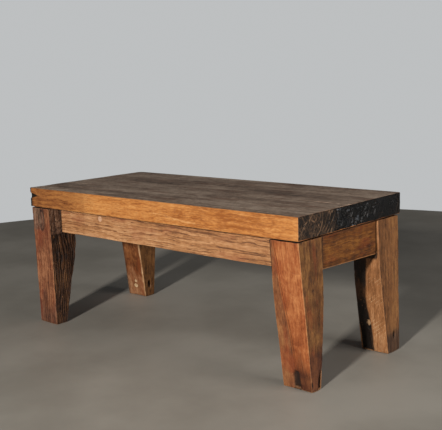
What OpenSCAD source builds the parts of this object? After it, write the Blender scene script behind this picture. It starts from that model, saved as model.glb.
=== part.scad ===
// Rustic backless bench: one thick plank on four sawn beams, tied by a pegged apron frame.
// Millimetres. +X runs along the bench, -Y is its front, +Z is up, and the floor is z = 0.
// Lists of four go round the corners: front left, front right, rear right, rear left.

/* [Overall] */
// Length of the seat plank
bench_len = 1005; // [850:5:1400]
// Width of the seat plank
bench_w = 458; // [380:2:600]
// Height of the seat above the floor
seat_h = 420; // [340:5:520]

/* [Seat plank] */
// Thickness of the plank
top_t = 58; // [45:1:80]
// How far the plank's ends stand out past the legs
end_overhang = 2; // [0:1:40]
// How far the plank's front edge stands out past the front legs
front_overhang = 1; // [0:1:40]
// How far the plank's rear edge stands out past the rear legs
rear_overhang = 8; // [0:1:40]
// Radius of each of the plank's corners in plan
corner_r = [3, 2, 4, 18]; // [1:1:40]

/* [Legs] */
// Width of each leg along the bench, at the top
leg_w = [85, 84, 75, 79]; // [75:1:120]
// Width of each leg along the bench, at the floor
foot_w = [82, 85, 83, 84]; // [60:1:100]
// Depth of each leg across the bench, at the top
leg_depth = [94, 95, 106, 94]; // [90:1:130]
// Depth of each leg across the bench, at the floor
foot_depth = [38, 35, 57, 39]; // [30:1:80]
// How far each outer face leans in across the bench, at the floor
leg_lean = [10, 32, 22, 16]; // [0:1:35]
// How far each outer end face splays out along the bench, at the floor
leg_splay = [0, 12, 16, 16]; // [0:1:20]
// Height at which the legs start to taper
knee_z = 225; // [120:5:260]

/* [Aprons] */
// Height of the long aprons
apron_h = 80; // [70:1:110]
// How far the end aprons reach below the long ones
end_apron_drop = 10; // [0:1:20]
// Thickness of the aprons
apron_t = 36; // [28:1:40]
// Setback of the long aprons from the legs' outer faces
long_setback = 42; // [34:1:44]
// Setback of the end aprons from the legs' outer end faces
end_setback = 2; // [1:1:10]

/* [Joinery] */
// Thickness of the tenons
tenon_t = 14; // [10:1:18]
// Length of the tenons
tenon_len = 40; // [34:1:42]
// Shoulder above and below each tenon
shoulder = 8; // [6:1:12]
// Diameter of the pegs that lock the tenons
peg_d = 8; // [5:0.5:9]
// Wood left outside each peg, on the long aprons' side of the leg
long_peg_edge = 22; // [18:1:26]
// Wood left outside each peg, on the end aprons' side of the leg
end_peg_edge = 11; // [9:1:13]
// How far the pegs of the long aprons reach past the aprons' outer faces
long_peg_past = 4; // [0:1:10]
// Wood left in front of the blind holes of the end aprons' pegs
end_peg_cover = 12; // [8:1:14]
// Diameter of the dowel between each leg and the plank
dowel_d = 16; // [10:1:20]
// Length of those dowels
dowel_len = 40; // [30:2:50]
// Centre of the dowel, in from the leg's outer end face and its outer face
dowel_at = [36, 26]; // [20:1:40]

/* [Cleats and screws] */
// Side of the square cleats that hold the plank to the long aprons
cleat_side = 28; // [24:1:34]
// Gap between the cleats' ends and the legs
cleat_gap = 10; // [4:1:40]
// Screws up through each cleat into the plank
seat_screws = 4; // [2:1:4]
// Screws through each cleat into the apron
apron_screws = 3; // [2:1:3]
// Diameter of the screws' shanks
screw_d = 4.5; // [3.5:0.5:6]
// Diameter of the screws' heads
screw_head_d = 9; // [7:0.5:11]
// Length of the screws into the plank
seat_screw_len = 50; // [40:1:60]
// Length of the screws into the aprons
apron_screw_len = 45; // [36:1:55]
// Clearance around each screw in its hole
screw_clearance = 0.1; // [0.05:0.05:0.3]

/* [Old marks of the reclaimed wood] */
// Diameter of the plug in the front apron
plug_d = 16; // [8:1:20]
// Depth of that plug
plug_len = 10; // [6:1:20]
// Distance of the plug from the left end of the bench
plug_x = 271; // [200:1:400]
// Distance of the plug below the plank
plug_drop = 21; // [12:1:60]
// Depth of the old cuts in the legs
old_cut_depth = 12; // [4:1:16]

/* [Hidden] */
$fn = 48;
EPS = 0.5;
CORNERS = ["front_left", "front_right", "rear_right", "rear_left"];
SIDE_X = [-1, 1, 1, -1];
SIDE_Y = [-1, -1, 1, 1];
PEG_LEVELS = 4;
LONG_LEVELS = [0, 2];
END_LEVELS = [1, 3];
PEG_NAMES = ["lower", "upper"];
CLEATS = ["front", "rear"];

function numbered(word, count) = [for (side = CLEATS, i = [1:count]) str(side, word, i)];
LONG_PEGS = [for (corner = CORNERS, level = PEG_NAMES) str(corner, "_long_peg_", level)];
END_PEGS = [for (corner = CORNERS, level = PEG_NAMES) str(corner, "_end_peg_", level)];
SEAT_SCREWS = numbered("_seat_screw_", seat_screws);
APRON_SCREWS = numbered("_apron_screw_", apron_screws);

plank_z = seat_h - top_t;
apron_z = plank_z - apron_h;
tenon_z = apron_z + shoulder;
tenon_h = apron_h - 2 * shoulder;
leg_x = bench_len / 2 - end_overhang;
leg_y = [for (side = SIDE_Y) bench_w / 2 - (side < 0 ? front_overhang : rear_overhang)];
long_tenon_v = long_setback + (apron_t - tenon_t) / 2;
end_tenon_u = end_setback + (apron_t - tenon_t) / 2;
cleat_v = long_setback + apron_t;
cleat_z = plank_z - cleat_side;
cleat_len = 2 * (leg_x - max(leg_w) - cleat_gap);
screw_head_h = (screw_head_d - screw_d) / 2;

// Old cuts: the leg, then the corner nearest the leg's own corner and the floor, then the size
OLD_CUTS = [
    [1, [25, -EPS, -EPS], [25, leg_lean[1] + old_cut_depth + EPS, 51 + EPS]],
    [2, [43, leg_depth[2] - 3 * old_cut_depth, 62], [8, 3 * old_cut_depth, 26]],
    [2, [-leg_splay[2] - EPS, 38, 42], [old_cut_depth + EPS, 12, 10]],
    [3, [leg_w[3] - 2 * old_cut_depth, 40, 30], [2 * old_cut_depth, 11, 24]]
];

WOOD_DARK = "#4a3a30";
WOOD_BROWN = "#8a5a38";
WOOD_RED = "#9c5f3c";
WOOD_PALE = "#c9a878";
STEEL = "#b8b4a8";

// Places a child drawn in a corner's own frame: x and y run inward from the leg's outer corner
module at_corner(i) {
    translate([SIDE_X[i] * leg_x, SIDE_Y[i] * leg_y[i], 0])
        mirror([SIDE_X[i] > 0 ? 1 : 0, 0, 0])
            mirror([0, SIDE_Y[i] > 0 ? 1 : 0, 0])
                children();
}

// A rod along x that starts at the origin and runs towards -x
module rod_back_x(d, length) {
    rotate([0, -90, 0]) cylinder(d = d, h = length);
}

// A rod along y that starts at the origin and runs towards -y
module rod_back_y(d, length) {
    rotate([90, 0, 0]) cylinder(d = d, h = length);
}

// Side outline of a leg: straight inner edge down to the knee, then a taper to the foot
function taper_outline(shift, foot, width) = [
    [0, plank_z], [shift, 0], [shift + foot, 0], [width, knee_z], [width, plank_z]
];

// The sawn beam that a leg is, before its mortises and holes
module leg_blank(i) {
    across = 2 * leg_depth[i];
    along = 2 * leg_w[i];
    intersection() {
        translate([0, across, 0]) rotate([90, 0, 0])
            linear_extrude(2 * across) polygon(taper_outline(-leg_splay[i], foot_w[i], leg_w[i]));
        translate([-along / 2, 0, 0]) rotate([90, 0, 90])
            linear_extrude(2 * along)
                polygon(taper_outline(leg_lean[i], foot_depth[i], leg_depth[i]));
    }
}

function peg_z(level) = tenon_z + tenon_h * (2 * level + 1) / (2 * PEG_LEVELS);

// Peg through a long apron's tenon, in its corner's frame
module long_peg(i, level) {
    translate([leg_w[i] - long_peg_edge, leg_depth[i], peg_z(level)])
        rod_back_y(peg_d, leg_depth[i] - long_setback + long_peg_past);
}

// Peg through an end apron's tenon, in its corner's frame
module end_peg(i, level) {
    translate([leg_w[i], leg_depth[i] - end_peg_edge, peg_z(level)])
        rod_back_x(peg_d, leg_w[i] - end_peg_cover);
}

// Tenon of the long apron that ends at this leg
module long_tenon(i) {
    translate([leg_w[i] - tenon_len, long_tenon_v, tenon_z])
        cube([tenon_len, tenon_t, tenon_h]);
}

// Tenon of the end apron that ends at this leg
module end_tenon(i) {
    translate([end_tenon_u, leg_depth[i] - tenon_len, tenon_z])
        cube([tenon_t, tenon_len, tenon_h]);
}

// Dowel that stands half in the leg and half in the plank
module dowel(i) {
    translate([dowel_at[0], dowel_at[1], plank_z - dowel_len / 2])
        cylinder(d = dowel_d, h = dowel_len);
}

// Cuts that the beams kept from their earlier use
module old_cuts(i) {
    for (cut = OLD_CUTS)
        if (cut[0] == i) translate(cut[1]) cube(cut[2]);
}

// One leg, with its mortises, peg holes, dowel hole and old cuts
module leg(i) {
    color(i == 0 || i == 3 ? WOOD_BROWN : WOOD_RED)
        at_corner(i)
            difference() {
                leg_blank(i);
                long_tenon(i);
                end_tenon(i);
                for (level = LONG_LEVELS) long_peg(i, level);
                for (level = END_LEVELS) end_peg(i, level);
                dowel(i);
                old_cuts(i);
            }
}

// Seat outline in plan, with its rounded corners
module plank_outline() {
    difference() {
        square([bench_len, bench_w], center = true);
        for (i = [0:3])
            translate([SIDE_X[i] * bench_len / 2, SIDE_Y[i] * bench_w / 2])
                difference() {
                    square(2 * corner_r[i], center = true);
                    translate([-SIDE_X[i] * corner_r[i], -SIDE_Y[i] * corner_r[i]])
                        circle(corner_r[i]);
                }
    }
}

// The seat: one thick plank, with blind holes for the dowels and the screws
module seat_plank() {
    color(WOOD_DARK)
        difference() {
            translate([0, 0, plank_z]) linear_extrude(top_t) plank_outline();
            for (i = [0:3]) at_corner(i) dowel(i);
            for (side = [0:1], k = [0:seat_screws - 1]) seat_screw(side, k, screw_clearance);
        }
}

// Long apron between two legs, from the corner i on the left to the corner j on the right
module long_apron(i, j) {
    left = leg_w[i] - leg_x;
    right = leg_x - leg_w[j];
    inner = SIDE_Y[i] * (leg_y[i] - long_setback);
    difference() {
        union() {
            translate([left, min(inner, inner - SIDE_Y[i] * apron_t), apron_z])
                cube([right - left, apron_t, apron_h]);
            at_corner(i) long_tenon(i);
            at_corner(j) long_tenon(j);
        }
        for (corner = [i, j], level = LONG_LEVELS) at_corner(corner) long_peg(corner, level);
        for (k = [0:apron_screws - 1])
            apron_screw(SIDE_Y[i] < 0 ? 0 : 1, k, screw_clearance);
    }
}

// End apron between the front leg i and the rear leg j
module end_apron(i, j) {
    front = -leg_y[i] + leg_depth[i];
    rear = leg_y[j] - leg_depth[j];
    outer = SIDE_X[i] * (leg_x - end_setback);
    difference() {
        union() {
            translate([min(outer, outer - SIDE_X[i] * apron_t), front, apron_z - end_apron_drop])
                cube([apron_t, rear - front, apron_h + end_apron_drop]);
            at_corner(i) end_tenon(i);
            at_corner(j) end_tenon(j);
        }
        for (corner = [i, j], level = END_LEVELS) at_corner(corner) end_peg(corner, level);
    }
}

// Round plug set flush in the front apron, with its top towards the front
module plug() {
    translate([plug_x - bench_len / 2, plug_len - leg_y[0] + long_setback, plank_z - plug_drop])
        rod_back_y(plug_d, plug_len);
}

module front_apron() {
    color(WOOD_BROWN) difference() {
        long_apron(0, 1);
        plug();
    }
}

module rear_apron() {
    color(WOOD_BROWN) long_apron(3, 2);
}

module left_apron() {
    color(WOOD_BROWN) end_apron(0, 3);
}

module right_apron() {
    color(WOOD_BROWN) end_apron(1, 2);
}

module apron_plug() {
    color(WOOD_PALE) plug();
}

// Puts a child drawn for the front cleat at the front or, mirrored, at the rear
module on_side(side) {
    overhang = side == 0 ? front_overhang : rear_overhang;
    mirror([0, side, 0]) translate([0, overhang - bench_w / 2, 0]) children();
}

// Countersunk screw with its head's top at the origin, running towards +z
module screw(length, grow) {
    if (grow > 0) translate([0, 0, -EPS]) cylinder(d = screw_head_d + 2 * grow, h = EPS);
    cylinder(d1 = screw_head_d + 2 * grow, d2 = screw_d + 2 * grow, h = screw_head_h);
    cylinder(d = screw_d + 2 * grow, h = length + grow);
}

// Screw k of the row that runs up through a cleat into the plank
module seat_screw(side, k, grow = 0) {
    x = cleat_len * ((2 * k + 1) / (2 * seat_screws) - 0.5);
    on_side(side) translate([x, cleat_v + cleat_side / 2, cleat_z])
        screw(seat_screw_len, grow);
}

// Screw k of the row that runs out through a cleat into the long apron
module apron_screw(side, k, grow = 0) {
    x = cleat_len * ((k + 1) / (apron_screws + 1) - 0.5);
    on_side(side) translate([x, cleat_v + cleat_side, cleat_z + cleat_side / 2])
        rotate([90, 0, 0]) screw(apron_screw_len, grow);
}

// Cleat in the corner between a long apron and the plank
module cleat(side) {
    color(WOOD_PALE) difference() {
        on_side(side) translate([-cleat_len / 2, cleat_v, cleat_z])
            cube([cleat_len, cleat_side, cleat_side]);
        for (k = [0:seat_screws - 1]) seat_screw(side, k, screw_clearance);
        for (k = [0:apron_screws - 1]) apron_screw(side, k, screw_clearance);
    }
}

seat_plank();
front_apron();
rear_apron();
left_apron();
right_apron();
apron_plug();
cleat(0);  // front_cleat
cleat(1);  // rear_cleat
for (i = [0:3]) {
    leg(i);
    color(WOOD_PALE) at_corner(i) dowel(i);
    for (k = [0:1]) {
        color(WOOD_PALE) at_corner(i) long_peg(i, LONG_LEVELS[k]);
        color(WOOD_PALE) at_corner(i) end_peg(i, END_LEVELS[k]);
    }
}
for (side = [0:1]) {
    for (k = [0:seat_screws - 1])
        color(STEEL) seat_screw(side, k);
    for (k = [0:apron_screws - 1])
        color(STEEL) apron_screw(side, k);
}
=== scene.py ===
# %% [markdown]
# # A rustic backless bench in old wood
#
# The bench is one thick plank on four sawn beams, held together by a low frame of rails. The design
# file already holds every piece at its true size. This script keeps that design as a fixed frame and
# gives the pieces that show the surface of old timber: worn edges, furrows, cracks, broken corners
# and old cuts, all as real geometry, with the grain, the stains and the wax left to the materials.

# %% Load the frame
from math import radians

import bpy
import numpy as np
from mathutils import Matrix, Vector


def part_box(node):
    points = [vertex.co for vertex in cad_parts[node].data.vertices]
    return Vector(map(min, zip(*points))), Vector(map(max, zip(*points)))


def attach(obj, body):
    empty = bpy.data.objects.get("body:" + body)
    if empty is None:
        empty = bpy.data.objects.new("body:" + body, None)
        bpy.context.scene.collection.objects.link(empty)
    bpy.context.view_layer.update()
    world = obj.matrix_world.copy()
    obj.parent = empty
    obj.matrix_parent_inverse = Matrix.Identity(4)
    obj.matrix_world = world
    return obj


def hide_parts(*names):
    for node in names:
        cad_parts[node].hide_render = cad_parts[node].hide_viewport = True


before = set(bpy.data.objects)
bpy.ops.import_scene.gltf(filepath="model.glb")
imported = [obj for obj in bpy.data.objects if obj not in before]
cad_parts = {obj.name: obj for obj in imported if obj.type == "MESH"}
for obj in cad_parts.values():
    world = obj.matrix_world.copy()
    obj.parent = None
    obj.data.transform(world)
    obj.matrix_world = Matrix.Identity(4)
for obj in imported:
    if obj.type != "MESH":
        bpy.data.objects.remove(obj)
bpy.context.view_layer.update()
MM = 0.001

# %% [markdown]
# ## The camera and the light
#
# The bench is seen from its right front corner, a little above the seat, with a fairly long lens and
# the camera tilted slightly on its axis. The camera is placed by three angles around the bench and a
# distance, which is easier to read than a matrix: its back, right and up directions follow from them.

# %% Place the camera
CAMERA_AZIMUTH = radians(41.70)
CAMERA_ELEVATION = radians(8.16)
CAMERA_ROLL = radians(-1.71)
CAMERA_PLACE = Vector((1562.4, -1674.2, 730.4)) * MM
LENS_MM = 66.3
LENS_DROP = -0.0452


def camera_axes(azimuth, elevation, roll):
    """Right, up and back: back points from the bench to the camera, and roll turns the other two."""
    back = Vector((np.sin(azimuth) * np.cos(elevation),
                   -np.cos(azimuth) * np.cos(elevation), np.sin(elevation)))
    level = Vector((np.cos(azimuth), np.sin(azimuth), 0.0))
    rise = back.cross(level)
    right = level * np.cos(roll) + rise * np.sin(roll)
    return right, back.cross(right), back


def add_camera():
    """The camera that the scene is seen through."""
    lens = bpy.data.cameras.new("camera")
    lens.lens = LENS_MM
    lens.shift_y = LENS_DROP
    camera = bpy.data.objects.new("camera", lens)
    turn = Matrix(camera_axes(CAMERA_AZIMUTH, CAMERA_ELEVATION, CAMERA_ROLL)).transposed()
    camera.matrix_world = Matrix.Translation(CAMERA_PLACE) @ turn.to_4x4()
    bpy.context.scene.collection.objects.link(camera)
    bpy.context.scene.camera = camera


add_camera()
print("camera at", tuple(round(c, 3) for c in CAMERA_PLACE), "lens", LENS_MM)

# %% [markdown]
# The light comes from one soft lamp, low in front of the bench and a little to its right. It meets
# the front faces squarely and only grazes the seat and the right end, so these stay darker, and the
# right front leg throws its shadow on the one behind it. A weak lamp and a dim grey sky fill the rest.
# The sky that the camera sees behind the bench is brighter than the one that lights it.

# %% Light the studio
KEY_LIGHT = {"place": (1.27, -4.4, 1.6), "size": 0.30, "watts": 235, "colour": (1.0, 0.95, 0.88)}
FILL_LIGHT = {"place": (3.4, 0.35, 1.1), "size": 1.8, "watts": 62, "colour": (1.0, 0.96, 0.91)}
LIGHT_TARGET = Vector((0.0, 0.0, 0.25))
SKY_COLOUR = (0.80, 0.82, 0.83, 1.0)
SKY_STRENGTH = 0.08
SKY_SEEN_STRENGTH = 0.64


def add_lamp(name, place, size, watts, colour):
    """A square area lamp that looks at the bench."""
    lamp = bpy.data.lights.new(name, "AREA")
    lamp.size = size
    lamp.energy = watts
    lamp.color = colour
    holder = bpy.data.objects.new(name, lamp)
    holder.location = place
    holder.rotation_euler = (LIGHT_TARGET - Vector(place)).to_track_quat("-Z", "Y").to_euler()
    bpy.context.scene.collection.objects.link(holder)


add_lamp("key_light", **KEY_LIGHT)
add_lamp("fill_light", **FILL_LIGHT)


def add_sky():
    """An even sky whose strength depends on whether the camera sees it or it lights the bench."""
    sky = bpy.data.worlds.new("studio_sky")
    sky.use_nodes = True
    tree = sky.node_tree
    background = tree.nodes["Background"]
    background.inputs["Color"].default_value = SKY_COLOUR
    path = tree.nodes.new("ShaderNodeLightPath")
    strength = tree.nodes.new("ShaderNodeMapRange")
    strength.inputs["To Min"].default_value = SKY_STRENGTH
    strength.inputs["To Max"].default_value = SKY_SEEN_STRENGTH
    tree.links.new(path.outputs["Is Camera Ray"], strength.inputs["Value"])
    tree.links.new(strength.outputs["Result"], background.inputs["Strength"])
    bpy.context.scene.world = sky


add_sky()
bpy.context.scene.view_settings.view_transform = "Standard"
print("two lamps and a sky of strength", SKY_STRENGTH)

# %% [markdown]
# ## Writing materials as formulas
#
# A wood shader is mostly arithmetic on patterns: rings, streaks, pores and stains are each a number
# that varies over the surface. `Wire` stands for one such number and overloads the usual operators,
# so that `1 - mask` adds a Math node and joins it up. `Recipe` holds the material, and its `add` is
# the one way in which any other node is made.

# %% A small language for shader nodes
def math_method(operation, swapped=False):
    """A method that adds one Math node; swapped puts the other value first."""
    def method(self, other):
        return self.math(operation, *((other, self) if swapped else (self, other)))
    return method


class Wire:
    """One output of a node, which can be added, multiplied and so on."""

    def __init__(self, recipe, socket):
        self.recipe = recipe
        self.socket = socket

    def math(self, operation, *values):
        """A Math node on the given values, which may be wires or plain numbers."""
        return self.recipe.add("ShaderNodeMath", {"operation": operation}, values)

    def __abs__(self):
        return self.math("ABSOLUTE", self)

    __add__ = __radd__ = math_method("ADD")
    __sub__ = math_method("SUBTRACT")
    __rsub__ = math_method("SUBTRACT", swapped=True)
    __mul__ = __rmul__ = math_method("MULTIPLY")
    __truediv__ = math_method("DIVIDE")
    __rtruediv__ = math_method("DIVIDE", swapped=True)
    __pow__ = math_method("POWER")

    def ramp(self, low, high):
        """0 below low, 1 above high, and smooth between them; low may be the larger one."""
        settings = {"interpolation_type": "SMOOTHSTEP"}
        return self.recipe.add("ShaderNodeMapRange", settings, (self, low, high, 0.0, 1.0))


class Recipe:
    """A material that is being written."""

    def __init__(self, name):
        self.material = bpy.data.materials.new(name)
        self.material.use_nodes = True
        self.tree = self.material.node_tree
        self.surface = self.tree.nodes["Principled BSDF"]

    def add(self, kind, settings, values, output=0):
        """Any node: its settings first, then its inputs, given in order or by name or number."""
        node = self.tree.nodes.new(kind)
        for key, setting in settings.items():
            if key == "stops":
                self.set_stops(node.color_ramp, setting)
            else:
                setattr(node, key, setting)
        pairs = values.items() if isinstance(values, dict) else enumerate(values)
        for key, value in pairs:
            self.connect(node.inputs[key], value)
        return Wire(self, node.outputs[output])

    def set_stops(self, color_ramp, stops):
        """The stops of a colour ramp, as pairs of a place and a colour."""
        elements = color_ramp.elements
        while len(elements) < len(stops):
            elements.new(0.5)
        for element, (place, colour) in zip(elements, stops):
            element.position = place
            element.color = colour

    def connect(self, socket, value):
        """Links a wire to an input, or sets the input to a plain value."""
        if isinstance(value, Wire):
            self.tree.links.new(value.socket, socket)
        else:
            socket.default_value = value

    def mix(self, factor, first, second):
        """Blend of two colours: the first where factor is 0, the second where it is 1."""
        return self.add("ShaderNodeMix", {"data_type": "RGBA"}, {0: factor, 6: first, 7: second}, 2)

    def mask(self, name):
        """A number that the mesh stores at each of its points."""
        settings = {"attribute_name": name}
        return self.add("ShaderNodeAttribute", settings, {}, "Fac")

    def noise(self, place, scale=1.0, detail=3.0, roughness=0.55):
        """Cloudy noise from about 0 to 1."""
        return self.add("ShaderNodeTexNoise", {}, {
            "Vector": place, "Scale": scale, "Detail": detail, "Roughness": roughness})

    def finish(self, **inputs):
        """Joins the results to the surface shader and hands the material over."""
        for name, value in inputs.items():
            self.connect(self.surface.inputs[name.replace("_", " ")], value)
        return self.material


def srgb(code, alpha=1.0):
    """A colour written as a web code, as the linear numbers that shaders work with."""
    parts = np.array([int(code[i:i + 2], 16) for i in (1, 3, 5)]) / 255
    linear = np.where(parts <= 0.04045, parts / 12.92, ((parts + 0.055) / 1.055) ** 2.4)
    return (*linear.tolist(), alpha)


print("white is", srgb("#ffffff"), "and middle grey", [round(c, 2) for c in srgb("#808080")[:3]])

# %% [markdown]
# ## The floor
#
# The bench stands in an empty studio, on a plain pale disc of floor that only catches its shadow. The
# disc ends a little way behind the bench, so that the dark seat stands out against the pale sky.

# %% Lay the floor
FLOOR_RADIUS = 2.3
FLOOR_SIDES = 180


def floor_material():
    """Pale matt concrete with faint clouds."""
    recipe = Recipe("pale_floor")
    place = recipe.add("ShaderNodeTexCoord", {}, {}, "Object")
    cloud = recipe.noise(place, scale=2.2, detail=5.0)
    colour = recipe.mix(cloud.ramp(0.3, 0.7), srgb("#8f8b83"), srgb("#a5a199"))
    return recipe.finish(Base_Color=colour, Roughness=0.55)


def add_floor():
    """A flat disc: points at equal turns around a circle, joined into one face."""
    turns = np.linspace(0, 2 * np.pi, FLOOR_SIDES, endpoint=False)
    rim = [(FLOOR_RADIUS * np.cos(turn), FLOOR_RADIUS * np.sin(turn), 0) for turn in turns]
    mesh = bpy.data.meshes.new("studio_floor")
    mesh.from_pydata(rim, [], [tuple(range(FLOOR_SIDES))])
    floor = bpy.data.objects.new("studio_floor", mesh)
    mesh.materials.append(floor_material())
    bpy.context.scene.collection.objects.link(floor)


add_floor()
print("the floor is a disc of", 2 * FLOOR_RADIUS, "m")

# %% [markdown]
# ## How the timber is shaped
#
# Old timber is a block whose surface has been eaten away unevenly. So each piece starts as the skin
# of a sharp block: six grids that share their border points. Its edges are then rounded by a radius
# that varies from place to place, and every point is pushed in along its outward direction by a
# relief, which is a sum of hills, furrows, cracks and dents. A voxel sculpt would need many more
# faces for the same detail, and a bevelled cube could not wear unevenly.

# %% Random hills
HASH = np.array([73856093, 19349663, 83492791])
HASH_MIX = 1274126177
SEED_STEP = 2654435761


def random_corners(corner, seed):
    """A random number from -1 to 1 for each whole-number place, always the same for one seed."""
    n = (corner * HASH).sum(axis=1) + seed * SEED_STEP
    n = (n ^ (n >> 13)) * HASH_MIX
    n = n ^ (n >> 16)
    return (n & 0xFFFF) / 32767.5 - 1


def hills(points, cell, seed):
    """Random hills from -1 to 1, one height per point.

    Space is cut into cells of the given size along x, y and z. Every corner of a cell has a random
    height, and a point takes the blend of its cell's eight corners, where a corner's weight along
    each axis is 3t^2 - 2t^3 of the way t from the opposite corner.
    """
    places = points / np.asarray(cell)
    corner = np.floor(places).astype(np.int64)
    t = places - corner
    t = t * t * (3 - 2 * t)
    total = np.zeros(len(points))
    for step in np.ndindex(2, 2, 2):
        weight = np.prod(np.where(step, t, 1 - t), axis=1)
        total += weight * random_corners(corner + np.array(step), seed)
    return total


def fine_hills(points, cell, seed, octaves=3):
    """Hills with smaller hills on them: each layer has half the cells' size and half the height."""
    total = np.zeros(len(points))
    for k in range(octaves):
        total += hills(points, np.asarray(cell) / 2 ** k, seed + 31 * k) / 2 ** k
    return total / (2 - 2 ** (1 - octaves))


sample = fine_hills(np.random.default_rng(1).uniform(0, 1, (1000, 3)), (0.1, 0.1, 0.1), 5)
print("hills from", round(sample.min(), 2), "to", round(sample.max(), 2))

# %% [markdown]
# The grid lines of a block lie closer together near its edges, where the rounding needs them, and
# along its cracks. Six grids numbered on one shared lattice meet without a seam.

# %% Skin of a block
RIM_PLACES = np.array([0.0, 0.1, 0.25, 0.45, 0.7])


def grid_lines(low, high, step, rim, fine=()):
    """Places from low to high about one step apart, closer within rim of the ends.

    Each entry of fine adds lines around a crack: its middle, half its width and their spacing.
    """
    inside = np.linspace(low + rim, high - rim, max(2, round((high - low - 2 * rim) / step) + 1))
    lines = [inside, low + rim * RIM_PLACES, high - rim * RIM_PLACES]
    for middle, half, spacing in fine:
        lines.append(np.linspace(middle - half, middle + half, 2 * round(half / spacing) + 1))
    return np.unique(np.round(np.concatenate(lines), 4))


def block_skin(low, high, steps, rim, fine=()):
    """The surface of a block as six grids: the points on it and the four corners of each face.

    The lines of fine go across y. A lattice point (i, j, k) has the number (i * ny + j) * nz + k. A
    grid across one axis steps along the next two, which in that order make its faces point along
    the axis; the grid on the low side turns its faces round.
    """
    lines = [grid_lines(low[k], high[k], steps[k], rim, fine if k == 1 else ()) for k in range(3)]
    counts = [len(line) for line in lines]
    quads = []
    for axis in range(3):
        second, third = (axis + 1) % 3, (axis + 2) % 3
        q, r = np.meshgrid(np.arange(counts[second] - 1), np.arange(counts[third] - 1))
        for side in (0, counts[axis] - 1):
            ring = []
            for step_q, step_r in ((0, 0), (1, 0), (1, 1), (0, 1)):
                place = [side, side, side]
                place[second] = q + step_q
                place[third] = r + step_r
                ring.append(((place[0] * counts[1] + place[1]) * counts[2] + place[2]).ravel())
            ring = np.stack(ring, axis=1)
            quads.append(ring if side else ring[:, ::-1])
    used, quads = np.unique(np.concatenate(quads), return_inverse=True)
    i, rest = np.divmod(used, counts[1] * counts[2])
    j, k = np.divmod(rest, counts[2])
    places = [line[number] for line, number in zip(lines, (i, j, k))]
    return np.stack(places, axis=1), quads.reshape(-1, 4)


def worn_block(points, low, high, radius):
    """Moves the points of a sharp block onto one with rounded edges.

    A point's core is the nearest point of the block shrunk by the radius. The point is placed at
    the same distance from its core as its furthest coordinate was, which rounds edges and corners.
    Returns the new points and their outward directions.
    """
    radius = np.reshape(radius, (-1, 1))
    core = np.clip(points, low + radius, high - radius)
    out = points - core
    reach = np.abs(out).max(axis=1, keepdims=True)
    away = out / np.linalg.norm(out, axis=1, keepdims=True)
    return core + away * reach, away


def edge_distance(points, low, high):
    """How far each point on a block's skin is from the nearest edge, measured on the skin."""
    gaps = np.minimum(points - low, high - points)
    return np.sort(gaps, axis=1)[:, 1]


def unit(values):
    """The values, kept between 0 and 1."""
    return np.clip(values, 0, 1)


def bell(values):
    """1 at 0, falling to nearly 0 by 2 on either side: e to the minus square."""
    return np.exp(-values ** 2)


def facing(away, axis, sign):
    """1 on the face that looks along the given axis and sign, fading to 0 around its edges."""
    return unit((away[:, axis] * sign - 0.55) / 0.35)


demo_points, demo_quads = block_skin(np.zeros(3), np.full(3, 0.1), np.full(3, 0.02), 0.01)
print("a demo block has", len(demo_points), "points and", len(demo_quads), "faces")

# %% [markdown]
# The marks of age are short functions too. Each takes places on a surface and returns how deep the
# mark is there, from 0 to 1, so that the same number can both sink the surface and darken it, mostly
# as painted shade.

# %% Cracks, dents and cuts
def crack(along, across, start, end, width, sway=0.0, seed=0):
    """A crack from start to end, each a pair of along and across.

    Its middle follows the straight line plus a sway of slow hills. Its half width swells from 0 at
    both tips to its full value, as the square root of 4t(1 - t). The depth falls off from the
    middle as 1 minus the square of the distance over the half width.
    """
    t = (along - start[0]) / (end[0] - start[0])
    inside = unit(4 * t * (1 - t)) ** 0.5
    bend = hills(np.stack([along, 0 * along, 0 * along], axis=1), (0.03, 1, 1), seed)
    middle = start[1] + (end[1] - start[1]) * t + sway * bend
    reach = np.maximum(width / 2 * inside, 1e-6)
    return unit(1 - ((across - middle) / reach) ** 2) * (inside > 0)


def dent(first, second, middle, size, turn=0.0, power=2.0):
    """A round or long dent: 1 minus the power of the distance from its middle over its half sizes.

    Power 2 makes a shallow bowl, and a high power makes a flat pocket with steep walls.
    """
    a = first - middle[0]
    b = second - middle[1]
    c, s = np.cos(radians(turn)), np.sin(radians(turn))
    far = np.abs((a * c + b * s) / size[0]) ** power + np.abs((b * c - a * s) / size[1]) ** power
    return unit(1 - far)


def furrows(points, cell, seed, sharpness=2.0):
    """Weathered grain: 0 on the ridges and 1 in the furrows, from hills stretched along it."""
    return unit(0.5 + 0.5 * fine_hills(points, cell, seed, 2)) ** sharpness


class Relief:
    """What the marks have done to a skin so far: how far each point is sunk, and the masks that the
    materials read. The mask named hollow is how dark a hollow the point lies in: painted shade in
    cracks, holes, slots and joints, and on a few marks, such as knots and a stained edge, the wood's
    own dark."""

    def __init__(self, sunk):
        self.sunk = sunk
        self.masks = {"hollow": np.zeros(len(sunk))}

    def cut(self, mark, depth, dark=0.0):
        """Adds depth times the mark to the relief; the hollow is the darkest of all its marks."""
        self.sunk = self.sunk + mark * depth
        self.masks["hollow"] = np.maximum(self.masks["hollow"], dark * mark)


print("a crack is", crack(np.array([0.5]), np.array([0.0]), (0, 0), (1, 0), 0.1)[0], "deep halfway")

# %% Turn arrays into a piece
def add_piece(name, node, points, quads, masks, slot, material):
    """Makes the mesh, stores its masks at its points and puts it in the place of a design node."""
    mesh = bpy.data.meshes.new(name)
    mesh.from_pydata(points.tolist(), [], quads.tolist())
    mesh.shade_smooth()
    for mask_name, values in masks.items():
        layer = mesh.attributes.new(mask_name, "FLOAT", "POINT")
        layer.data.foreach_set("value", np.ascontiguousarray(values, dtype=np.float32))
    mesh.materials.append(material)
    piece = bpy.data.objects.new(name, mesh)
    bpy.context.scene.collection.objects.link(piece)
    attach(piece, "root")
    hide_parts(node)
    print(name, "has", len(quads), "faces")


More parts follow.
